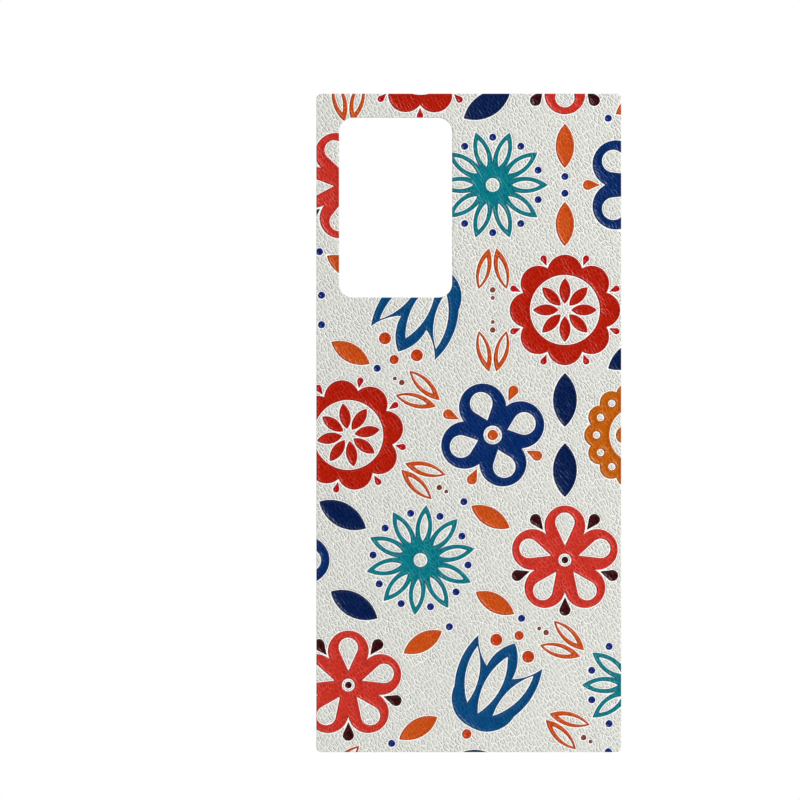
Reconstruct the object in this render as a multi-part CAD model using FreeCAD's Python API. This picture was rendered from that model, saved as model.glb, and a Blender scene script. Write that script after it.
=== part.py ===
"""Adhesive back skin for a phone, in millimetres.

The skin is a die-cut sheet: a leather-grained face with raised printed flowers, a carrier film,
two adhesive layers and a release liner in two halves. X runs across the phone and Z along its
length, the printed face looks towards -Y and the liner towards +Y. The origin is the middle of
the bonding plane, where the mounting adhesive meets the phone.

The print is a plain compass-drawn pattern: round flowers stand on a triangular lattice, and
leaves and dots fill the gaps between them.
"""

import FreeCAD, Part
import math
import os

# the die-cut outline
SKIN_WIDTH = 76.0
SKIN_HEIGHT = 164.2
SKIN_CORNER = 1.2

# the window that clears the camera island
WINDOW_WIDTH = 28.2
WINDOW_HEIGHT = 44.85
WINDOW_CORNER = 3.5
WINDOW_X = -18.25
WINDOW_Z = 53.7

# layer thicknesses, from the phone outwards
MOUNTING_ADHESIVE = 0.06
CARRIER_FILM = 0.10
LAMINATING_ADHESIVE = 0.06
LEATHER_FACE = 0.50
RAISED_INK = 0.15

# the release liner behind the mounting adhesive, slit across the middle
LINER = 0.12
LINER_SLIT = 0.2

CUT_THROUGH = 1.0  # how far a cutter passes each face
SCRAP = 0.04  # the share of a motif below which a trimmed scrap of it is left off

# The lattice of the print. Odd rows are shifted by half a pitch.
PITCH = 36.0
ROW_PITCH = PITCH * math.sin(math.radians(60))
GAP_OFFSET = PITCH / math.sqrt(3)  # from a flower to the middle of a gap between three flowers
LATTICE_X = 6.0
LATTICE_Z = -3.0
ROWS = range(-4, 5)
COLUMNS = range(-2, 3)

# Flowers, each as its column, its row and the angle it is turned by.
CORAL_BLOSSOMS = [(-1, -2, 18), (0, -1, 90), (-1, 2, 40), (0, 3, 54)]
VERMILION_ROSETTES = [(-1, 0, 10), (0, 1, 0), (-1, 3, 22)]
TEAL_DAISIES = [(1, -2, 0), (-1, -1, 12), (0, 2, 0), (-2, 1, 0)]
BLUE_TULIPS = [(0, -2, 62), (-1, 1, -118)]
NAVY_QUATREFOILS = [(-2, -1, 0), (0, 0, 20), (1, 2, 45), (-2, 3, 45)]
AMBER_MARIGOLDS = [(1, 0, 0)]

# Five round petals with a teardrop hole in each: reach from the middle and radius, then the
# hole's point, reach and radius.
CORAL_PETAL = (13.6, 5.1)
CORAL_HOLE = (3.6, 11.8, 2.4)
CORAL_EYE = 1.6
SEED = (9.2, 13.9, 1.4)
SEED_DOT = 0.85

# A band of eight lobes round eight pointed petals.
VERMILION_LOBE = (13.8, 4.4)
VERMILION_BAND_HOLE = 8.7
VERMILION_PETAL = (1.5, 8.0, 2.8)  # its two tips and its width
CRIMSON_DROP = (11.9, 14.7, 0.8)

# Ten pointed petals, as one half outline from the valley to the tip, with a slot in each.
TEAL_VALLEY = 5.6
TEAL_FLANK = (9.6, 1.9)
TEAL_REACH = 13.8
TEAL_SLOT = (4.8, 11.8, 2.0)
TEAL_EYE = 1.7
ROYAL_DOT = 0.9
ROYAL_DOT_AT = 11.9

# Four round petals with a teardrop hole in each.
NAVY_PETAL = (13.3, 5.9)
NAVY_HOLE = (3.9, 11.2, 2.8)
NAVY_EYE = 2.3
NAVY_DOT = 1.3
ORANGE_DROP = (9.2, 13.5, 1.25)

# Fourteen small lobes, a dot in each, and a six-lobed middle.
AMBER_LOBE = (13.2, 2.9)
AMBER_DOT_HOLE = 0.9
AMBER_DOT_HOLE_AT = 10.1
AMBER_RING_HOLE = 6.9
AMBER_MIDDLE = (5.3, 2.2)
AMBER_EYE = 1.5

# The tulip, as stretches of (along, across) points from its foot to its middle tip.
TULIP_EDGE = [
    [(-11.8, 0.0), (-10.2, 5.4), (-4.5, 8.4)],
    [(-4.5, 8.4), (2.6, 10.1), (9.4, 9.0)],
    [(9.4, 9.0), (5.9, 6.6), (3.6, 3.6)],
    [(3.6, 3.6), (8.2, 2.7), (11.8, 0.0)],
]
TULIP_MIDDLE_HOLE = ((-8.0, 0.0), (8.0, 0.0), 4.2)
TULIP_SIDE_HOLE = ((-6.8, 3.6), (6.8, 7.9), 3.4)
BERRIES = [(14.0, 0.0, 1.15), (10.4, 4.5, 1.5), (10.4, -4.5, 1.5), (-13.8, 0.0, 1.2)]

# What fills the gaps, along the open way between two flowers: leaves by their two tips and
# width, and dots by how far along they stand and their radius.
NAVY_LEAF = ((-5.1, 0.0), (8.4, 0.0), 6.0)
HOLLOW_LEAF = ((-5.0, 0.9), (5.2, 3.5), 3.5)
HOLLOW_LEAF_SLOT = ((-2.8, 1.46), (4.4, 3.3), 1.7)
ORANGE_LEAF = ((-4.9, 0.0), (6.2, 0.0), 4.6)
LEAF_DOT = (8.3, 0.9)
SPROUT_DOTS = [(5.4, 0.7), (7.4, 0.5)]


class Place:
    """Where a motif's own (along, across) frame lies on the sheet."""

    def __init__(self, x, z, degrees=0.0):
        self.x = x
        self.z = z
        self.degrees = degrees

    def point(self, along, across):
        """A point of the motif in the skin's frame, on the bonding plane."""
        turn = math.radians(self.degrees)
        x = self.x + along * math.cos(turn) - across * math.sin(turn)
        z = self.z + along * math.sin(turn) + across * math.cos(turn)
        return FreeCAD.Vector(x, 0.0, z)

    def turned(self, degrees):
        """The same place, turned further."""
        return Place(self.x, self.z, self.degrees + degrees)


def spot(column, row, degrees=0.0):
    """The place of a flower on the lattice."""
    shift = 0.5 if row % 2 else 0.0
    return Place(LATTICE_X + PITCH * (column + shift), LATTICE_Z + ROW_PITCH * row, degrees)


def gaps(kind):
    """The places of the gaps that one of the three kinds of filling takes."""
    places = []
    for row in ROWS:
        for column in COLUMNS:
            flower = spot(column, row)
            for side in (1, -1):
                number = 2 * column + row + side
                if number % 3 == kind:
                    way = 90.0 * side + 120.0 * (number % 9 // 3)
                    places.append(Place(flower.x, flower.z + side * GAP_OFFSET, way))
    return places


def around(place, count, half_step=False):
    """The place turned to each of a flower's petals, or to the valleys between them."""
    step = 360.0 / count
    first = step / 2 if half_step else 0.0
    return [place.turned(first + step * k) for k in range(count)]


def reflected(stretches):
    """The same stretches on the other side of the axis, run backwards."""
    return [[(u, -v) for u, v in reversed(stretch)] for stretch in reversed(stretches)]


def turned(stretches, degrees):
    """The stretches turned about the motif's middle."""
    c = math.cos(math.radians(degrees))
    s = math.sin(math.radians(degrees))
    return [[(u * c - v * s, u * s + v * c) for u, v in stretch] for stretch in stretches]


def closed(half):
    """A whole outline from its half, out to the tip on the axis and back on the other side."""
    return half + reflected(half)


def rosette(half, count):
    """One outline of count petals round the middle, from half a petal that starts in a valley."""
    outline = []
    for i in range(count):
        outline += turned(closed(half), -360.0 * i / count)
    return outline


def valley(radius, count):
    """Where two of a flower's petals meet, beside the petal that lies along the axis."""
    return (radius * math.cos(math.pi / count), radius * math.sin(math.pi / count))


def lobe(reach, radius, count):
    """Half a round petal, from the valley beside it to its tip."""
    centre = reach - radius
    turn = math.pi / count
    away = centre * math.cos(turn) + math.sqrt(radius**2 - (centre * math.sin(turn)) ** 2)
    start = valley(away, count)
    middle = math.atan2(start[1], start[0] - centre) / 2
    side = (centre + radius * math.cos(middle), radius * math.sin(middle))
    return [[start, side, (reach, 0.0)]]


def drop(point, reach, radius):
    """A teardrop outline along the axis, from its point to its round end."""
    centre = reach - radius
    half_angle = math.asin(radius / (centre - point))
    run = math.sqrt((centre - point) ** 2 - radius**2)
    touch = (point + run * math.cos(half_angle), run * math.sin(half_angle))
    middle = (math.pi / 2 + half_angle) / 2
    side = (centre + radius * math.cos(middle), radius * math.sin(middle))
    return closed([[(point, 0.0), touch], [touch, side, (reach, 0.0)]])


def lens(start, end, width):
    """A leaf outline: two arcs between its tips, with the width across the middle."""
    middle = ((start[0] + end[0]) / 2, (start[1] + end[1]) / 2)
    length = math.dist(start, end)
    across = (-(end[1] - start[1]) / length, (end[0] - start[0]) / length)
    left = (middle[0] + across[0] * width / 2, middle[1] + across[1] * width / 2)
    right = (middle[0] - across[0] * width / 2, middle[1] - across[1] * width / 2)
    return [[start, left, end], [end, right, start]]


def slot(near, far, width):
    """A leaf outline along the axis."""
    return lens((near, 0.0), (far, 0.0), width)


def edge(points):
    """A line through two points, or an arc through three."""
    if len(points) == 2:
        return Part.LineSegment(*points).toShape()
    return Part.Arc(*points).toShape()


def face(stretches, place):
    """The flat face inside an outline of lines and arcs."""
    edges = [edge([place.point(u, v) for u, v in stretch]) for stretch in stretches]
    return Part.Face(Part.Wire(edges))


def disc(place, radius, along=0.0, across=0.0):
    """A round face."""
    circle = Part.Circle(place.point(along, across), FreeCAD.Vector(0, 1, 0), radius)
    return Part.Face(Part.Wire([circle.toShape()]))


def plate(width, height, radius, x, z, back, thickness):
    """A rounded rectangular plate whose back lies at the given Y, built towards -Y."""
    corner = FreeCAD.Vector(x - width / 2, back - thickness, z - height / 2)
    block = Part.makeBox(width, thickness, height, corner)
    along_y = [e for e in block.Edges if abs(e.tangentAt(e.FirstParameter).y) > 0.5]
    return block.makeFillet(radius, along_y)


def layer(back, thickness):
    """A full layer of the skin, with the camera window through it."""
    sheet = plate(SKIN_WIDTH, SKIN_HEIGHT, SKIN_CORNER, 0.0, 0.0, back, thickness)
    window = plate(
        WINDOW_WIDTH,
        WINDOW_HEIGHT,
        WINDOW_CORNER,
        WINDOW_X,
        WINDOW_Z,
        back + CUT_THROUGH,
        thickness + 2 * CUT_THROUGH,
    )
    return sheet.cut(window)


def liner_half(side):
    """The liner above the slit for side 1, or below it for side -1."""
    height = SKIN_HEIGHT / 2
    low = LINER_SLIT / 2 if side > 0 else -height
    corner = FreeCAD.Vector(-SKIN_WIDTH / 2, 0.0, low)
    half = Part.makeBox(SKIN_WIDTH, LINER, height - LINER_SLIT / 2, corner)
    return layer(LINER, LINER).common(half)


def raised(faces, ink_back, sheet):
    """Raised ink on the given faces, trimmed to the die-cut sheet."""
    solids = []
    for flat in faces:
        flat.translate(FreeCAD.Vector(0, ink_back, 0))
        whole = flat.extrude(FreeCAD.Vector(0, -RAISED_INK, 0))
        trimmed = whole.common(sheet).Solids
        solids += [solid for solid in trimmed if solid.Volume > SCRAP * whole.Volume]
    return Part.makeCompound(solids)


def coral_blossoms():
    faces = []
    for flower in CORAL_BLOSSOMS:
        place = spot(*flower)
        blossom = face(rosette(lobe(*CORAL_PETAL, 5), 5), place)
        for petal in around(place, 5):
            blossom = blossom.cut(face(drop(*CORAL_HOLE), petal))
        faces.append(blossom.cut(disc(place, CORAL_EYE)))
    return faces


def maroon_seeds():
    faces = []
    for flower in CORAL_BLOSSOMS:
        place = spot(*flower)
        faces.append(disc(place, SEED_DOT))
        faces += [face(drop(*SEED), between) for between in around(place, 5, half_step=True)]
    return faces


def vermilion_rosettes():
    faces = []
    for flower in VERMILION_ROSETTES:
        place = spot(*flower)
        band = face(rosette(lobe(*VERMILION_LOBE, 8), 8), place)
        faces.append(band.cut(disc(place, VERMILION_BAND_HOLE)))
        faces += [face(slot(*VERMILION_PETAL), petal) for petal in around(place, 8)]
    return faces


def crimson_drops():
    return [
        face(drop(*CRIMSON_DROP), between)
        for flower in VERMILION_ROSETTES
        for between in around(spot(*flower), 8, half_step=True)
    ]


def teal_daisies():
    faces = []
    half = [[valley(TEAL_VALLEY, 10), TEAL_FLANK, (TEAL_REACH, 0.0)]]
    for flower in TEAL_DAISIES:
        place = spot(*flower)
        daisy = face(rosette(half, 10), place)
        for petal in around(place, 10):
            daisy = daisy.cut(face(slot(*TEAL_SLOT), petal))
        faces.append(daisy.cut(disc(place, TEAL_EYE)))
    return faces


def royal_blue_dots():
    faces = []
    for flower in TEAL_DAISIES:
        for between in around(spot(*flower), 10, half_step=True):
            faces.append(disc(between, ROYAL_DOT, ROYAL_DOT_AT))
    along, radius = LEAF_DOT
    faces += [disc(gap, radius, along) for gap in gaps(2)]
    return faces


def navy_quatrefoils():
    faces = []
    for flower in NAVY_QUATREFOILS:
        place = spot(*flower)
        quatrefoil = face(rosette(lobe(*NAVY_PETAL, 4), 4), place)
        for petal in around(place, 4):
            quatrefoil = quatrefoil.cut(face(drop(*NAVY_HOLE), petal))
        faces.append(quatrefoil.cut(disc(place, NAVY_EYE)))
    return faces


def orange_drops():
    faces = []
    for flower in NAVY_QUATREFOILS:
        place = spot(*flower)
        faces.append(disc(place, NAVY_DOT))
        faces += [face(drop(*ORANGE_DROP), between) for between in around(place, 4, half_step=True)]
    return faces


def amber_marigolds():
    faces = []
    for flower in AMBER_MARIGOLDS:
        place = spot(*flower)
        ring = face(rosette(lobe(*AMBER_LOBE, 14), 14), place)
        for petal in around(place, 14):
            ring = ring.cut(disc(petal, AMBER_DOT_HOLE, AMBER_DOT_HOLE_AT))
        faces.append(ring.cut(disc(place, AMBER_RING_HOLE)))
        middle = face(rosette(lobe(*AMBER_MIDDLE, 6), 6), place)
        faces.append(middle.cut(disc(place, AMBER_EYE)))
    return faces


def blue_tulips():
    faces = []
    for flower in BLUE_TULIPS:
        place = spot(*flower)
        side_hole = lens(*TULIP_SIDE_HOLE)
        tulip = face(closed(TULIP_EDGE), place)
        for hole in (lens(*TULIP_MIDDLE_HOLE), side_hole, reflected(side_hole)):
            tulip = tulip.cut(face(hole, place))
        faces.append(tulip)
    return faces


def orange_berries():
    return [
        disc(spot(*flower), radius, along, across)
        for flower in BLUE_TULIPS
        for along, across, radius in BERRIES
    ]


def hollow_leaves():
    faces = []
    outline = lens(*HOLLOW_LEAF)
    hole = lens(*HOLLOW_LEAF_SLOT)
    for gap in gaps(1):
        faces.append(face(outline, gap).cut(face(hole, gap)))
        faces.append(face(reflected(outline), gap).cut(face(reflected(hole), gap)))
    return faces


def brown_dots():
    return [disc(gap, radius, along) for gap in gaps(1) for along, radius in SPROUT_DOTS]


def main():
    carrier_back = -MOUNTING_ADHESIVE
    laminate_back = carrier_back - CARRIER_FILM
    leather_back = laminate_back - LAMINATING_ADHESIVE
    ink_back = leather_back - LEATHER_FACE
    nodes = {
        "mounting_adhesive": layer(0.0, MOUNTING_ADHESIVE),
        "carrier_film": layer(carrier_back, CARRIER_FILM),
        "laminating_adhesive": layer(laminate_back, LAMINATING_ADHESIVE),
        "leather_face": layer(leather_back, LEATHER_FACE),
        "upper_release_liner": liner_half(1),
        "lower_release_liner": liner_half(-1),
    }
    prints = {
        "coral_blossoms": coral_blossoms(),
        "maroon_seeds": maroon_seeds(),
        "vermilion_rosettes": vermilion_rosettes(),
        "crimson_drops": crimson_drops(),
        "teal_daisies": teal_daisies(),
        "royal_blue_dots": royal_blue_dots(),
        "blue_tulips": blue_tulips(),
        "orange_berries": orange_berries(),
        "navy_quatrefoils": navy_quatrefoils(),
        "orange_drops": orange_drops(),
        "amber_marigolds": amber_marigolds(),
        "navy_leaves": [face(lens(*NAVY_LEAF), gap) for gap in gaps(0)],
        "orange_leaves": [face(lens(*ORANGE_LEAF), gap) for gap in gaps(2)],
        "hollow_leaves": hollow_leaves(),
        "brown_dots": brown_dots(),
    }
    ink_sheet = layer(ink_back, RAISED_INK)
    for name, faces in prints.items():
        nodes[name] = raised(faces, ink_back, ink_sheet)
    os.makedirs("parts", exist_ok=True)
    for name, shape in nodes.items():
        shape.exportStep(f"parts/{name}.step")
        print(f"{name}: {len(shape.Solids)} solids, {shape.Volume:.2f} mm3, valid {shape.isValid()}")


main()
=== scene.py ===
"""Looks for the adhesive phone skin: grained leather, raised satin prints and a paper liner.

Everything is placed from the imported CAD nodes, in metres. The printed side looks towards -Y.
Lengths inside the mesh code are in millimetres until a mesh is written.
"""

import bpy
import math
import numpy as np
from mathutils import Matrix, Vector
from mathutils.geometry import delaunay_2d_cdt
from mathutils.kdtree import KDTree


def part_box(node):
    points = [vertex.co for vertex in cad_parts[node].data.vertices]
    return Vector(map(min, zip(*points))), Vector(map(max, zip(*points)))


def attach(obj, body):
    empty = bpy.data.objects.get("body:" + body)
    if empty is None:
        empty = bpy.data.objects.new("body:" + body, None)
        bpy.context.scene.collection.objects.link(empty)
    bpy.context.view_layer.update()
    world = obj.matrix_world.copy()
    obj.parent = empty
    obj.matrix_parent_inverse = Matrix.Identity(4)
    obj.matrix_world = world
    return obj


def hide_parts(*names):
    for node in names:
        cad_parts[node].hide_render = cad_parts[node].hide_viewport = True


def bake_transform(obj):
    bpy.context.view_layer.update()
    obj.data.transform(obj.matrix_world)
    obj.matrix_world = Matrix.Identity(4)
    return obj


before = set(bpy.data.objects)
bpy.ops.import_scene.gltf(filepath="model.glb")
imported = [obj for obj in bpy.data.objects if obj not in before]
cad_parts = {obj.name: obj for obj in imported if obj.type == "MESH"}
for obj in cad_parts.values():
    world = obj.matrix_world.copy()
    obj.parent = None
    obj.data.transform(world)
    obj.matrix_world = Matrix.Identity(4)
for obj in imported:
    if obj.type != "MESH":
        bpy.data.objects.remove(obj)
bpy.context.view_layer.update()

MM = 0.001

# ---------------------------------------------------------------- shapes, in mm

# meshes: STEP divides the outlines, GRID is the spacing inside, RINGS are rows along the edge
KEYS_PER_MM = 1e4  # how finely the CAD's corners are told apart
ROW_SHARE = 0.866  # a triangular lattice's rows, as a share of its spacing
POINTS_PER_BAND = 300
BORDER_SPACING = 0.06
RING_CLEAR = 0.9  # the share of a ring's distance that its points keep from every border
GRID_CLEAR = 0.3  # the share of the spacing that the grid keeps from the rings
SHARP_ANGLE = math.radians(35)

# prints: how far they stand up, and the shape of their edge
INK_RAISE = 0.13
INK_LIP = 0.14
INK_SHOULDER = 0.26
INK_LIP_END = 0.74
INK_RINGS = (0.07, 0.15, 0.26, 0.40, 0.56, 0.74)
# how far in from a print's edge its painted shade reaches
INK_RIM = 0.26
INK_STEP = 0.30
INK_GRID = 0.62
INK_SINK = 0.04
INK_PEBBLES = 0.5  # how much of the leather's relief shows through

# leather: its cut edge and its pebbles
LEATHER_EDGE = 0.14
LEATHER_RINGS = (0.05, 0.14)
LEATHER_STEP = 0.40
LEATHER_GRID = 0.46
PEBBLE_SEED = 7
PEBBLE_CELLS = 256  # the pattern repeats after this many cells
PEBBLE_SIZE = 1.5
PEBBLE_STRETCH = 1.6
PEBBLE_TILT = math.radians(57)
PEBBLE_HEIGHT = 0.03
PEBBLE_SLOPE = 0.45

# white primer: the band that shows round each print, its white also a painted highlight along the
# print's edge, and how far it stands up
PRIMER_HIGHLIGHT_WIDTH = 0.20
PRIMER_HIGHLIGHT_FADE = 0.12
PRIMER_RAISE = 0.02
PRIMER_STEP = 0.42
PRIMER_RINGS = (0.0, 0.20, 0.34)

# liner: how far from its hinge edge it bends, and how finely it is cut there and elsewhere
LINER_BEND = 6.0
LINER_BEND_STEP = 0.5
LINER_STEP = 1.0
LINER_GAP = 0.004  # between the liner and the adhesive

# ---------------------------------------------------------------- looks

# Lengths in materials are in metres and scales are per metre. Colours are display values.

# the grain of creases and flecks, with a painted highlight along the creases, which runs over the
# leather and the prints
GRAIN_SCALE = 1200.0
GRAIN_STRETCH = 1.9
GRAIN_RANDOM = 0.78
GRAIN_CREASE = 0.27
# where the painted highlight along a crease is full, and where it has faded out
GRAIN_CREASE_HIGHLIGHT = (0.02, 0.15)
WOBBLE_SCALE = 900.0
WOBBLE = 0.00045
DEPTH_SCALE = 420.0
FLECK_SCALE = 3000.0
FLECK_SHARE = 0.3

LEATHER_PATCH_SCALE = 160.0
LEATHER_BUMP = 0.00016
LEATHER_PEBBLE = (209, 211, 204)
# the creases' near-white colour is a painted highlight
LEATHER_CREASE_HIGHLIGHT = (247, 247, 245)
LEATHER_PATCH = (213, 214, 209)
LEATHER_CUT = (186, 181, 170)
# the primer's near-white is also a painted highlight round each print
PRIMER_HIGHLIGHT_WHITE = (253, 253, 251)

INK_PATCH_SCALE = 300.0
INK_BUMP = 0.00005
INK_GLOSS = 0.31
# painted shade at each print's edge: how much its darker colour is darkened there, and how much of
# that shows
INK_RIM_PAINTED_SHADE = 0.62
INK_PAINTED_SHADE_STRENGTH = 0.45

# adhesives and film: ripples, how far they and the cut edge darken, and the air channels
RIPPLE_SCALE = 220.0
RIPPLE_DARKER = 6
CUT_DARKER = 28
ADHESIVE_BUMP = 0.00006
AIR_PITCH = 0.0016
AIR_WIDTH = 0.00016
AIR_TILT = math.radians(45)

# liner paper: its ruled grid, how strongly that shows on each side, fibres and clouds
RULE_PITCH = 0.010
RULE_EDGES = (0.00012, 0.00020)
RULE_PAPER_SIDE = 0.55
RULE_RELEASE_SIDE = 0.10
RELEASE_GLAZE = 0.6
FIBRE_SCALE = 1400.0
FIBRE_SQUEEZE = 0.35
CLOUD_SCALE = 60.0
PAPER_BUMP = 0.00003
PAPER = (238, 237, 229)
PAPER_FIBRE = (227, 226, 216)
PAPER_CLOUD = (232, 230, 221)
PAPER_RULE = (168, 184, 196)
PAPER_CUT = (204, 200, 186)

# Each print: a slot name, its colour, and its darker and lighter strokes.
# The lighter stroke colour is partly a painted highlight along the creases and partly random
# flecks.
ORANGE = ("ink_orange", (196, 77, 18), (180, 60, 4), (216, 104, 42))
PRINTS = {
    "coral_blossoms": ("ink_coral", (198, 48, 36), (180, 34, 24), (218, 76, 60)),
    "maroon_seeds": ("ink_maroon", (50, 0, 4), (36, 0, 0), (80, 10, 16)),
    "vermilion_rosettes": ("ink_vermilion", (175, 22, 0), (158, 12, 0), (198, 50, 22)),
    "crimson_drops": ("ink_crimson", (181, 2, 15), (162, 0, 8), (202, 32, 38)),
    "teal_daisies": ("ink_teal", (0, 118, 132), (0, 100, 114), (18, 146, 154)),
    "royal_blue_dots": ("ink_royal_blue", (0, 31, 117), (0, 20, 100), (8, 56, 143)),
    "blue_tulips": ("ink_blue", (0, 70, 121), (0, 55, 104), (2, 94, 143)),
    "orange_berries": ("ink_berry", (188, 57, 8), (172, 42, 0), (210, 84, 34)),
    "navy_quatrefoils": ("ink_navy", (0, 39, 100), (0, 26, 84), (2, 62, 123)),
    "orange_drops": ORANGE,
    "amber_marigolds": ("ink_amber", (187, 92, 2), (170, 77, 0), (207, 118, 24)),
    "navy_leaves": ("ink_deep_navy", (0, 25, 75), (0, 14, 59), (2, 45, 98)),
    "orange_leaves": ORANGE,
    "hollow_leaves": ORANGE,
    "brown_dots": ("ink_brown", (130, 60, 40), (112, 44, 26), (156, 90, 68)),
}

# stage and camera, in metres
FLOOR_Z = -0.26
FLOOR_RADIUS = 0.45
DUST_SCALE = 30.0
SKY_DARK = 0.02
SKY_BRIGHT = 0.46
SKY_TURN = (-0.93, -0.50)  # where the sky goes from dark to bright, along its direction's Y
FRAME_WIDTH = 0.1996  # what the picture's width shows in the skin's plane
CAMERA_X = -0.01715  # the skin stands right of the picture's middle and a little below it
CAMERA_Z = 0.00571
CAMERA_AWAY = 1.2
SENSOR = 36.0  # millimetres


# ---------------------------------------------------------------- outlines from the CAD


def front_loops(node):
    """The outlines of a CAD node's front face: closed rows of (x, z) in mm, inside on the left."""
    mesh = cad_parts[node].data
    mesh.calc_loop_triangles()
    co = np.array([v.co for v in mesh.vertices]) / MM
    front = co[:, 1].min()
    keys = [tuple(k) for k in np.round(co[:, [0, 2]] * KEYS_PER_MM).astype(int)]
    following = {}
    edges = set()
    for triangle in mesh.loop_triangles:
        corners = list(triangle.vertices)
        if max(co[i, 1] for i in corners) > front + 1e-3:
            continue
        a, b, c = (keys[i] for i in corners)
        if (b[0] - a[0]) * (c[1] - a[1]) < (b[1] - a[1]) * (c[0] - a[0]):
            b, c = c, b
        edges.update([(a, b), (b, c), (c, a)])
    for a, b in sorted(edges):
        if (b, a) not in edges and a != b:
            following.setdefault(a, []).append(b)
    loops = []
    while following:
        start = min(following)
        loop = [start]
        here = following[start].pop()
        if not following[start]:
            del following[start]
        while here != start:
            loop.append(here)
            after = following[here].pop()
            if not following[here]:
                del following[here]
            here = after
        loops.append(np.array(loop) / KEYS_PER_MM)
    return loops


def cut_up(loop, step):
    """The loop with its long segments divided."""
    points = []
    for a, b in zip(loop, np.roll(loop, -1, axis=0)):
        n = max(1, math.ceil(np.linalg.norm(b - a) / step))
        points += [a + (b - a) * k / n for k in range(n)]
    return np.array(points)


def left_normals(loop):
    """A unit vector into the shape at each point of a loop."""
    before = loop - np.roll(loop, 1, axis=0)
    after = np.roll(loop, -1, axis=0) - loop
    before /= np.linalg.norm(before, axis=1)[:, None]
    after /= np.linalg.norm(after, axis=1)[:, None]
    way = before + after
    normal = np.stack([-way[:, 1], way[:, 0]], axis=1)
    length = np.linalg.norm(normal, axis=1)
    normal[length < 1e-6] = np.stack([-after[:, 1], after[:, 0]], axis=1)[length < 1e-6]
    return normal / np.maximum(np.linalg.norm(normal, axis=1), 1e-9)[:, None]


def inside(points, loops):
    """Which points lie inside the loops, by counting crossings."""
    starts = np.concatenate(loops)
    ends = np.concatenate([np.roll(loop, -1, axis=0) for loop in loops])
    lower = np.minimum(starts[:, 1], ends[:, 1])
    upper = np.maximum(starts[:, 1], ends[:, 1])
    found = np.zeros(len(points), bool)
    for some in np.array_split(np.argsort(points[:, 1]), 1 + len(points) // POINTS_PER_BAND):
        x, z = points[some, 0][:, None], points[some, 1][:, None]
        level = (lower <= z.max()) & (upper > z.min())
        a, b = starts[level], ends[level]
        spans = (a[:, 1] > z) != (b[:, 1] > z)
        rise = np.where(np.abs(b[:, 1] - a[:, 1]) < 1e-12, 1e-12, b[:, 1] - a[:, 1])
        at = a[:, 0] + (z - a[:, 1]) * (b[:, 0] - a[:, 0]) / rise
        found[some] = (spans & (x < at)).sum(axis=1) % 2 == 1
    return found


class Border:
    """Distances to a set of loops."""

    def __init__(self, loops):
        points = np.concatenate([cut_up(loop, BORDER_SPACING) for loop in loops])
        self.tree = KDTree(len(points))
        for i, (x, z) in enumerate(points):
            self.tree.insert((x, z, 0.0), i)
        self.tree.balance()

    def away(self, points):
        """How far each point is from the nearest loop."""
        return np.array([self.tree.find((x, z, 0.0))[2] for x, z in points])


# ---------------------------------------------------------------- leather pebbles


def pebbles(points):
    """Height of the leather's pebbles from 0 in the creases to 1, at (x, z) points in mm."""
    c, s = math.cos(PEBBLE_TILT), math.sin(PEBBLE_TILT)
    u = (points[:, 0] * c - points[:, 1] * s) / (PEBBLE_SIZE * PEBBLE_STRETCH)
    v = (points[:, 0] * s + points[:, 1] * c) / PEBBLE_SIZE
    random = np.random.default_rng(PEBBLE_SEED)
    jitter = random.random((PEBBLE_CELLS, PEBBLE_CELLS, 2))
    cell_u = np.floor(u).astype(int)
    cell_v = np.floor(v).astype(int)
    nearest = np.full(len(points), 9.0)
    second = np.full(len(points), 9.0)
    for du in (-1, 0, 1):
        for dv in (-1, 0, 1):
            at = jitter[(cell_u + du) % PEBBLE_CELLS, (cell_v + dv) % PEBBLE_CELLS]
            gap = np.hypot(cell_u + du + at[:, 0] - u, cell_v + dv + at[:, 1] - v)
            second = np.minimum(second, np.maximum(gap, nearest))
            nearest = np.minimum(nearest, gap)
    rise = np.clip((second - nearest) / PEBBLE_SLOPE, 0.0, 1.0)
    return rise * rise * (3 - 2 * rise)


# ---------------------------------------------------------------- meshes


def fill(loops, extra):
    """Triangles over the inside of the loops, through the extra points.

    Returns the points, the triangles, and each loop's points as indices."""
    outline = np.concatenate(loops)
    points = np.concatenate([outline, extra]) if len(extra) else outline
    edges = []
    first = 0
    for loop in loops:
        n = len(loop)
        edges += [(first + i, first + (i + 1) % n) for i in range(n)]
        first += n
    found = delaunay_2d_cdt([Vector(p) for p in points], edges, [], 0, 1e-5, True)
    placed = np.array([tuple(p) for p in found[0]])
    triangles = np.array(found[2])
    middles = placed[triangles].mean(axis=1)
    now_at = {was: i for i, origins in enumerate(found[3]) for was in origins}
    bounds = np.cumsum([0] + [len(loop) for loop in loops])
    borders = [[now_at[i] for i in range(a, b)] for a, b in zip(bounds, bounds[1:])]
    return placed, triangles[inside(middles, loops)], borders


def hex_grid(loops, step):
    """The points of a triangular lattice that lie inside the loops."""
    points = np.concatenate(loops)
    (x0, z0), (x1, z1) = points.min(axis=0), points.max(axis=0)
    rows = []
    for j in range(int((z1 - z0) / (step * ROW_SHARE)) + 2):
        xs = np.arange(x0 + (j % 2) * step / 2, x1 + step, step)
        rows.append(np.stack([xs, np.full(len(xs), z0 + j * step * ROW_SHARE)], axis=1))
    grid = np.concatenate(rows)
    return grid[inside(grid, loops)]


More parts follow.
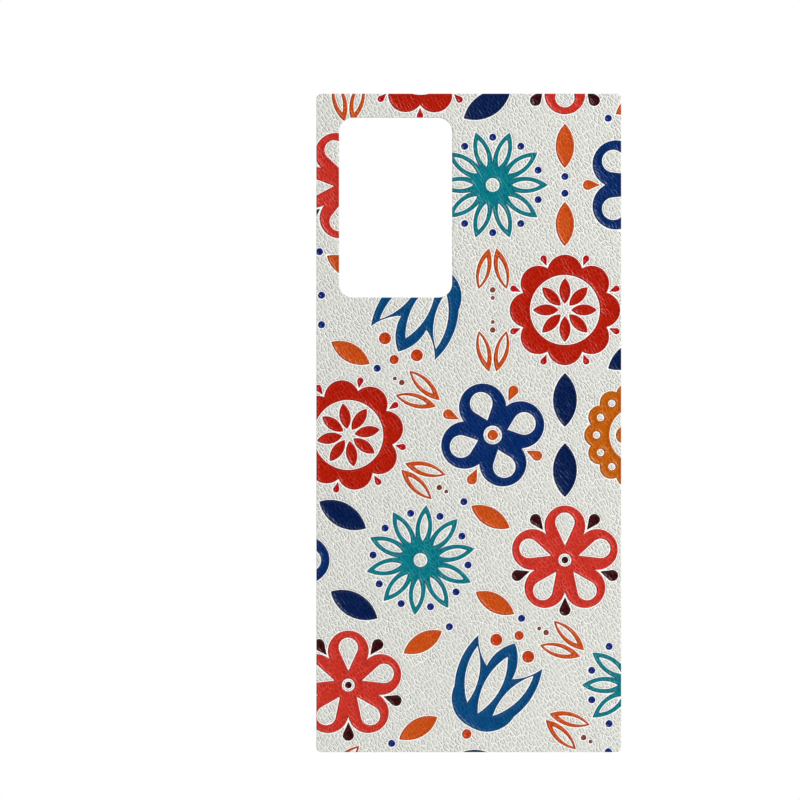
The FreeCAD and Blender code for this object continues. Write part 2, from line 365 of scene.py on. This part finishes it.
def shell(name, loops, rings, grid_step, front, back, refine=None, tint=None, bends=False):
    """A closed mesh over the loops, from Y back to the Y that front(points, away, tints) gives.

    refine(grid) gives the grid points to use, tint(points, away) a value for each front point, and
    a piece that bends has the grid on its back too."""
    border = Border(loops)
    extra = []
    for distance in rings:
        for loop in loops:
            ring = loop + left_normals(loop) * distance
            extra.append(ring[border.away(ring) > RING_CLEAR * distance])
    reach = rings[-1] if rings else 0.0
    grid = hex_grid(loops, grid_step)
    if refine:
        grid = refine(grid)
    extra.append(grid[border.away(grid) > reach + GRID_CLEAR * grid_step])
    extra = np.concatenate(extra)
    points, triangles, borders = fill(loops, extra)
    flat_points, flat_triangles, flat_borders = fill(loops, extra if bends else [])
    count = len(points)
    away = border.away(points)
    tints = tint(points, away) if tint else None
    front_y = front(points, away, tints)
    top = np.stack([points[:, 0], front_y, points[:, 1]], axis=1)
    back_y = np.full(len(flat_points), back)
    bottom = np.stack([flat_points[:, 0], back_y, flat_points[:, 1]], axis=1)
    faces = [tuple(int(i) for i in t) for t in triangles]
    faces += [tuple(int(i) + count for i in t[::-1]) for t in flat_triangles]
    for near, far in zip(borders, flat_borders):
        for i in range(len(near)):
            a, b = near[i - 1], near[i]
            c, d = far[i - 1] + count, far[i] + count
            if a != b and c != d:
                faces.append((b, a, c, d))
    mesh = bpy.data.meshes.new(name)
    mesh.from_pydata((np.concatenate([top, bottom]) * MM).tolist(), [], faces)
    mesh.validate()
    mesh.shade_smooth()
    mesh.set_sharp_from_angle(angle=SHARP_ANGLE)
    if tint:
        values = np.zeros(len(mesh.vertices), np.float32)
        values[:count] = tints
        mesh.attributes.new("tint", "FLOAT", "POINT").data.foreach_set("value", values)
    piece = bpy.data.objects.new(name, mesh)
    bpy.context.scene.collection.objects.link(piece)
    return piece


def node_y(node):
    """The front and back of a CAD node, in mm along Y."""
    low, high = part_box(node)
    return low.y / MM, high.y / MM


# ---------------------------------------------------------------- materials


class Shader:
    """A node material under construction."""

    def __init__(self, name, roughness=0.5, specular=0.5):
        self.material = bpy.data.materials.new(name)
        self.material.use_nodes = True
        self.nodes = self.material.node_tree.nodes
        self.links = self.material.node_tree.links
        self.surface = next(n for n in self.nodes if n.type == "BSDF_PRINCIPLED")
        self.set("Roughness", roughness)
        self.set("Specular IOR Level", specular)
        self.where = self.add("ShaderNodeTexCoord").outputs["Object"]

    def set(self, socket, value):
        self.surface.inputs[socket].default_value = value

    def join(self, output, socket):
        self.links.new(output, self.surface.inputs[socket])

    def add(self, kind, inputs=None, **settings):
        node = self.nodes.new(kind)
        for key, value in settings.items():
            setattr(node, key, value)
        for key, value in (inputs or {}).items():
            if isinstance(value, bpy.types.NodeSocket):
                self.links.new(value, node.inputs[key])
            else:
                node.inputs[key].default_value = value
        return node

    def mapped(self, scale=(1, 1, 1), rotation=(0, 0, 0)):
        turned = self.add("ShaderNodeMapping", {0: self.where, "Rotation": rotation})
        return self.add("ShaderNodeMapping", {0: turned.outputs[0], "Scale": scale}).outputs[0]

    def noise(self, vector, scale, detail=3.0, roughness=0.55):
        inputs = {"Vector": vector, "Scale": scale, "Detail": detail, "Roughness": roughness}
        return self.add("ShaderNodeTexNoise", inputs).outputs["Fac"]

    def span(self, value, low, high, to_low=0.0, to_high=1.0):
        inputs = {0: value, 1: low, 2: high, 3: to_low, 4: to_high}
        return self.add("ShaderNodeMapRange", inputs, interpolation_type="SMOOTHSTEP").outputs[0]

    def math(self, operation, a, b):
        return self.add("ShaderNodeMath", {0: a, 1: b}, operation=operation).outputs[0]

    def mix(self, fac, a, b):
        node = self.add("ShaderNodeMix", data_type="RGBA")
        for socket, value in ((0, fac), (6, a), (7, b)):
            if isinstance(value, bpy.types.NodeSocket):
                self.links.new(value, node.inputs[socket])
            else:
                node.inputs[socket].default_value = value
        return node.outputs[2]

    def tint(self):
        """The mesh's tint, from 0 to 1."""
        return self.add("ShaderNodeAttribute", attribute_name="tint").outputs["Fac"]

    def cut_edge(self):
        """1 on faces that look sideways, 0 on those that look to the front or back."""
        normal = self.add("ShaderNodeNewGeometry").outputs["True Normal"]
        across = self.add("ShaderNodeSeparateXYZ", {0: normal}).outputs["Y"]
        return self.span(self.math("ABSOLUTE", across, 0.0), 0.25, 0.55, 1.0, 0.0)

    def bump(self, height, strength, distance):
        inputs = {"Height": height, "Strength": strength, "Distance": distance}
        node = self.add("ShaderNodeBump", inputs)
        self.join(node.outputs[0], "Normal")


def linear(red, green, blue):
    """A linear colour from display values of 0 to 255."""

    def one(value):
        value /= 255.0
        return value / 12.92 if value <= 0.04045 else ((value + 0.055) / 1.055) ** 2.4

    return (one(red), one(green), one(blue), 1.0)


def grain(shader):
    """The leather's fine grain: height from 0 in a crease to 1 on a pebble, a painted highlight
    along the creases, and flecks.
    """
    tilt = (0.0, -PEBBLE_TILT, 0.0)
    turned = shader.mapped(rotation=tilt, scale=(1 / GRAIN_STRETCH, 1.0, 1.0))
    wobble = shader.add(
        "ShaderNodeTexNoise", {"Vector": turned, "Scale": WOBBLE_SCALE, "Detail": 2.0}
    ).outputs["Color"]
    moved = shader.add(
        "ShaderNodeVectorMath", {0: wobble, 1: (WOBBLE, 0.0, WOBBLE)}, operation="MULTIPLY"
    ).outputs[0]
    vector = shader.add("ShaderNodeVectorMath", {0: turned, 1: moved}).outputs[0]
    parts = shader.add("ShaderNodeSeparateXYZ", {0: vector}).outputs
    flat = shader.add("ShaderNodeCombineXYZ", {0: parts[0], 1: parts[2]}).outputs[0]
    cells = shader.add(
        "ShaderNodeTexVoronoi",
        {"Vector": flat, "Scale": GRAIN_SCALE, "Randomness": GRAIN_RANDOM},
        feature="DISTANCE_TO_EDGE",
        voronoi_dimensions="2D",
    ).outputs["Distance"]
    crease = shader.span(cells, 0.0, GRAIN_CREASE, 1.0, 0.0)
    depth = shader.span(shader.noise(flat, DEPTH_SCALE, 2.0), 0.30, 0.68, 0.35, 1.1)
    height = shader.math("SUBTRACT", 1.0, shader.math("MULTIPLY", crease, depth))
    crease_highlight = shader.math("MULTIPLY", shader.span(cells, *GRAIN_CREASE_HIGHLIGHT, 1.0, 0.0), depth)
    flecks = shader.noise(shader.mapped(), FLECK_SCALE, 2.0, 0.6)
    return height, crease_highlight, flecks


def leather_material():
    """White leather with a painted highlight along its creases, soft patches, and smooth primer
    where tint is 1, whose white is also a painted highlight round each print.
    """
    shader = Shader("white_grained_leather", roughness=0.5, specular=0.3)
    height, crease_highlight, flecks = grain(shader)
    # painted highlight: the creases are coloured near white
    shade = shader.mix(crease_highlight, linear(*LEATHER_PEBBLE), linear(*LEATHER_CREASE_HIGHLIGHT))
    patches = shader.noise(shader.mapped(), LEATHER_PATCH_SCALE, 3.0)
    patchy = shader.span(patches, 0.3, 0.7, 0.0, 0.35)
    shade = shader.mix(patchy, shade, linear(*LEATHER_PATCH))
    # painted highlight: a near-white band round each print, on the primer
    shade = shader.mix(shader.tint(), shade, linear(*PRIMER_HIGHLIGHT_WHITE))
    shade = shader.mix(shader.cut_edge(), shade, linear(*LEATHER_CUT))
    shader.join(shade, "Base Color")
    shader.join(shader.span(height, 0.0, 1.0, 0.42, 0.6), "Roughness")
    bare = shader.math("SUBTRACT", 1.0, shader.tint())
    relief = shader.math("ADD", height, shader.math("MULTIPLY", flecks, FLECK_SHARE))
    shader.bump(shader.math("MULTIPLY", relief, bare), 1.0, LEATHER_BUMP)
    return shader.material


def ink_material(name, colour, dark, light):
    """Satin ink in strokes of the darker and lighter colours, the lighter partly a painted
    highlight along the creases, and painted shade darkening its edge where tint is 1.
    """
    shader = Shader(name, roughness=INK_GLOSS, specular=0.2)
    height, crease_highlight, flecks = grain(shader)
    # the lighter strokes are half a painted highlight along the creases and half random flecks
    halves = [shader.math("MULTIPLY", part, 0.5) for part in (crease_highlight, flecks)]
    strokes = shader.span(shader.math("ADD", *halves), 0.20, 0.70)
    shade = shader.mix(strokes, linear(*dark), linear(*light))
    patches = shader.noise(shader.mapped(), INK_PATCH_SCALE, 3.0)
    shade = shader.mix(shader.span(patches, 0.35, 0.7, 0.3, 0.8), shade, linear(*colour))
    # painted shade: the edge of each print is coloured darker
    painted_rim_shade = linear(*[c * INK_RIM_PAINTED_SHADE for c in dark])
    shade = shader.mix(shader.math("MULTIPLY", shader.tint(), INK_PAINTED_SHADE_STRENGTH), shade, painted_rim_shade)
    shader.join(shade, "Base Color")
    gloss = shader.span(flecks, 0.2, 0.8, INK_GLOSS - 0.06, INK_GLOSS + 0.1)
    shader.join(gloss, "Roughness")
    relief = shader.math("ADD", height, shader.math("MULTIPLY", flecks, FLECK_SHARE))
    shader.bump(relief, 1.0, INK_BUMP)
    return shader.material


def adhesive_material(name, colour, roughness, channels=False):
    """A clear sheet with faint ripples and, if it has channels, crossed grooves."""
    shader = Shader(name, roughness=roughness, specular=0.5)
    ripples = shader.noise(shader.mapped(), RIPPLE_SCALE, 3.0)
    height = shader.math("MULTIPLY", ripples, 0.6)
    if channels:
        for tilt in (-AIR_TILT, AIR_TILT):
            turned = shader.mapped(rotation=(0, tilt, 0))
            across = shader.add("ShaderNodeSeparateXYZ", {0: turned}).outputs["X"]
            off_line = shader.math("PINGPONG", across, AIR_PITCH / 2)
            groove = shader.span(off_line, 0.0, AIR_WIDTH, 1.0, 0.0)
            height = shader.math("SUBTRACT", height, groove)
    darker = linear(*[c - RIPPLE_DARKER for c in colour])
    shade = shader.mix(shader.span(ripples, 0.3, 0.7), linear(*colour), darker)
    shade = shader.mix(shader.cut_edge(), shade, linear(*[c - CUT_DARKER for c in colour]))
    shader.join(shade, "Base Color")
    gloss = shader.span(ripples, 0.2, 0.8, roughness - 0.05, roughness + 0.12)
    shader.join(gloss, "Roughness")
    shader.bump(height, 0.6, ADHESIVE_BUMP)
    return shader.material


def liner_material():
    """Glazed liner paper with faint fibres and a ruled grid, clear of the slit.

    The grid shows through faintly on the glossier release side, where tint is 1."""
    shader = Shader("liner_paper", roughness=0.42, specular=0.45)
    along_fibres = shader.mapped(scale=(1.0, 1.0, FIBRE_SQUEEZE))
    fibres = shader.noise(along_fibres, FIBRE_SCALE, 4.0, 0.65)
    clouds = shader.noise(shader.mapped(), CLOUD_SCALE, 3.0)
    shade = shader.mix(shader.span(fibres, 0.3, 0.7), linear(*PAPER), linear(*PAPER_FIBRE))
    cloudy = shader.span(clouds, 0.35, 0.65, 0.0, 0.4)
    shade = shader.mix(cloudy, shade, linear(*PAPER_CLOUD))
    parts = shader.add("ShaderNodeSeparateXYZ", {0: shader.where}).outputs
    lines = []
    for axis in (0, 2):
        along = shader.math("ADD", parts[axis], RULE_PITCH / 2)
        off_line = shader.math("PINGPONG", along, RULE_PITCH / 2)
        lines.append(shader.span(off_line, *RULE_EDGES, 1.0, 0.0))
    rule = shader.math("MAXIMUM", *lines)
    strength = shader.span(shader.tint(), 0.0, 1.0, RULE_PAPER_SIDE, RULE_RELEASE_SIDE)
    shade = shader.mix(shader.math("MULTIPLY", rule, strength), shade, linear(*PAPER_RULE))
    shade = shader.mix(shader.cut_edge(), shade, linear(*PAPER_CUT))
    shader.join(shade, "Base Color")
    glaze = shader.span(shader.tint(), 0.0, 1.0, 1.0, RELEASE_GLAZE)
    matt = shader.span(clouds, 0.3, 0.7, 0.36, 0.5)
    shader.join(shader.math("MULTIPLY", matt, glaze), "Roughness")
    shader.bump(fibres, 0.4, PAPER_BUMP)
    return shader.material


# ---------------------------------------------------------------- the skin

leather_front, leather_back = node_y("leather_face")
leather_loops = [cut_up(loop, LEATHER_STEP) for loop in front_loops("leather_face")]
print_loops = [cut_up(loop, PRIMER_STEP) for node in PRINTS for loop in front_loops(node)]
print_border = Border(print_loops)


def primer_highlight_band(points, away):
    """1 on the white primer round a print and under it, its white also a painted highlight,
    falling to 0 on bare leather.
    """
    bare = np.clip((print_border.away(points) - PRIMER_HIGHLIGHT_WIDTH) / PRIMER_HIGHLIGHT_FADE, 0.0, 1.0)
    bare[inside(points, print_loops)] = 0.0
    return 1.0 - bare


def leather_top(points, away, primer):
    """The leather's face: pebbled, a little higher on the primer, and rounded at its cut edge."""
    edge = np.clip(away / LEATHER_EDGE, 0.0, 1.0)
    rounded = LEATHER_EDGE * (1.0 - np.sqrt(1.0 - (1.0 - edge) ** 2))
    raised = PRIMER_RAISE * primer - PEBBLE_HEIGHT * (1.0 - pebbles(points))
    return leather_front + rounded - raised * edge


def leather_refine(grid):
    """The grid without what the prints hide, and with rows of points along their borders."""
    near = print_border.away(grid)
    bare = near > PRIMER_RINGS[-1] + GRID_CLEAR * LEATHER_GRID
    rows = [grid[bare & ~inside(grid, print_loops)]]
    for distance in PRIMER_RINGS:
        for loop in print_loops:
            row = loop - left_normals(loop) * distance
            rows.append(row[print_border.away(row) > RING_CLEAR * distance - 1e-6])
    rows = np.concatenate(rows)
    return rows[inside(rows, leather_loops)]


def ink_painted_shade_rim(points, away):
    """1 at a print's edge, where its painted shade is full, falling to 0 inside it."""
    return np.clip(1.0 - away / INK_RIM, 0.0, 1.0) ** 0.7


def ink_top(points, away, painted_rim_shade):
    """A print's face: a round shoulder, a lip behind it, and the leather's pebbles inside."""
    rise = np.sin(np.clip(away / INK_SHOULDER, 0.0, 1.0) * math.pi / 2)
    lip = np.clip((away - INK_SHOULDER) / (INK_LIP_END - INK_SHOULDER), 0.0, 1.0)
    lip = INK_LIP * (1.0 - lip * lip * (3 - 2 * lip))
    creases = INK_PEBBLES * PEBBLE_HEIGHT * (1.0 - pebbles(points))
    creases *= np.clip(away / INK_LIP_END, 0.0, 1.0)
    return leather_front - rise * (INK_RAISE + lip) + creases


leather = shell(
    "grained_leather",
    leather_loops,
    LEATHER_RINGS,
    LEATHER_GRID,
    leather_top,
    leather_back,
    refine=leather_refine,
    tint=primer_highlight_band,
)
leather.data.materials.append(leather_material())
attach(leather, "skin")
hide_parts("leather_face")

for node, (slot, colour, dark, light) in PRINTS.items():
    loops = [cut_up(loop, INK_STEP) for loop in front_loops(node)]
    back = leather_front + INK_SINK
    ink = shell("raised_" + node, loops, INK_RINGS, INK_GRID, ink_top, back, tint=ink_painted_shade_rim)
    ink.data.materials.append(ink_material("ink_" + node, colour, dark, light))
    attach(ink, "skin")
    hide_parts(node)

for node, material in (
    ("mounting_adhesive", adhesive_material("tacky_adhesive", (226, 225, 214), 0.16, True)),
    ("carrier_film", adhesive_material("matt_carrier_film", (232, 232, 228), 0.45)),
    ("laminating_adhesive", adhesive_material("cured_adhesive", (222, 220, 206), 0.35)),
):
    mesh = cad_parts[node].data
    mesh.materials.clear()
    mesh.materials.append(material)

# ---------------------------------------------------------------- the liner


def release_side(points, away):
    """1 all over, because a liner's front is its release side."""
    return np.ones(len(points))


paper = liner_material()
skin_low, skin_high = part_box("leather_face")
for side, body in ((1, "upper_liner"), (-1, "lower_liner")):
    node = body.replace("liner", "release_liner")
    liner_front, liner_back = node_y(node)

    def liner_front_y(points, away, tints, y=liner_front):
        return np.full(len(points), y + LINER_GAP)

    loops = [cut_up(loop, LINER_BEND_STEP) for loop in front_loops(node)]
    hinge = (skin_high.z if side > 0 else skin_low.z) / MM

    def bend_refine(grid, loops=loops, hinge=hinge):
        """The grid, with a finer one where the liner bends."""
        near = hex_grid(loops, LINER_BEND_STEP)
        near = near[np.abs(near[:, 1] - hinge) < LINER_BEND]
        flat = grid[np.abs(grid[:, 1] - hinge) > LINER_BEND + 0.5 * LINER_STEP]
        return np.concatenate([near, flat])

    sheet = shell(
        "paper_" + body,
        loops,
        (),
        LINER_STEP,
        liner_front_y,
        liner_back,
        refine=bend_refine,
        tint=release_side,
        bends=True,
    )
    sheet.data.materials.append(paper)
    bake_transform(sheet)
    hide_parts(node)

# ---------------------------------------------------------------- stage, light and camera


def stage_floor():
    """A plain pale floor, well below the skin."""
    shader = Shader("pale_floor", roughness=0.8, specular=0.1)
    dust = shader.noise(shader.mapped(), DUST_SCALE, 3.0)
    dusty = shader.span(dust, 0.3, 0.7)
    shader.join(shader.mix(dusty, linear(250, 250, 250), linear(246, 246, 246)), "Base Color")
    bpy.ops.mesh.primitive_circle_add(
        vertices=96, radius=FLOOR_RADIUS, fill_type="NGON", location=(0, 0, FLOOR_Z)
    )
    floor = bpy.context.object
    floor.name = "floor"
    floor.data.materials.append(shader.material)


def area_light(name, place, size, power, colour):
    """A square light that looks at the origin."""
    light = bpy.data.lights.new(name, "AREA")
    light.size = size
    light.energy = power
    light.color = colour
    lamp = bpy.data.objects.new(name, light)
    bpy.context.scene.collection.objects.link(lamp)
    lamp.location = place
    lamp.rotation_euler = (-Vector(place)).to_track_quat("-Z", "Y").to_euler()


def white_world():
    """White where the camera looks past the object, and a softer sky that is darker towards -Y."""
    world = bpy.data.worlds.new("studio")
    world.use_nodes = True
    nodes, links = world.node_tree.nodes, world.node_tree.links
    nodes.clear()
    path = nodes.new("ShaderNodeLightPath")
    seen = nodes.new("ShaderNodeBackground")
    seen.inputs["Color"].default_value = (1, 1, 1, 1)
    lit = nodes.new("ShaderNodeBackground")
    lit.inputs["Color"].default_value = (0.97, 0.98, 1.0, 1)
    way = nodes.new("ShaderNodeSeparateXYZ")
    links.new(nodes.new("ShaderNodeTexCoord").outputs["Generated"], way.inputs[0])
    sky = nodes.new("ShaderNodeMapRange")
    sky.interpolation_type = "SMOOTHSTEP"
    for socket, value in enumerate((*SKY_TURN, SKY_DARK, SKY_BRIGHT), start=1):
        sky.inputs[socket].default_value = value
    links.new(way.outputs["Y"], sky.inputs[0])
    links.new(sky.outputs[0], lit.inputs["Strength"])
    mixed = nodes.new("ShaderNodeMixShader")
    out = nodes.new("ShaderNodeOutputWorld")
    links.new(path.outputs["Is Camera Ray"], mixed.inputs[0])
    links.new(lit.outputs[0], mixed.inputs[1])
    links.new(seen.outputs[0], mixed.inputs[2])
    links.new(mixed.outputs[0], out.inputs[0])
    bpy.context.scene.world = world


stage_floor()
white_world()
area_light("key", (0.80, -0.80, 0.60), size=0.40, power=17.8, colour=(1.0, 0.99, 0.97))
area_light("back", (-0.5, 0.8, 0.5), size=0.5, power=6.0, colour=(1.0, 1.0, 1.0))

camera_data = bpy.data.cameras.new("camera")
camera_data.sensor_width = SENSOR
camera_data.lens = SENSOR * CAMERA_AWAY / FRAME_WIDTH
camera = bpy.data.objects.new("camera", camera_data)
bpy.context.scene.collection.objects.link(camera)
camera.location = (CAMERA_X, -CAMERA_AWAY, CAMERA_Z)
camera.rotation_euler = (math.radians(90), 0, 0)
bpy.context.scene.camera = camera
bpy.context.scene.view_settings.view_transform = "Standard"
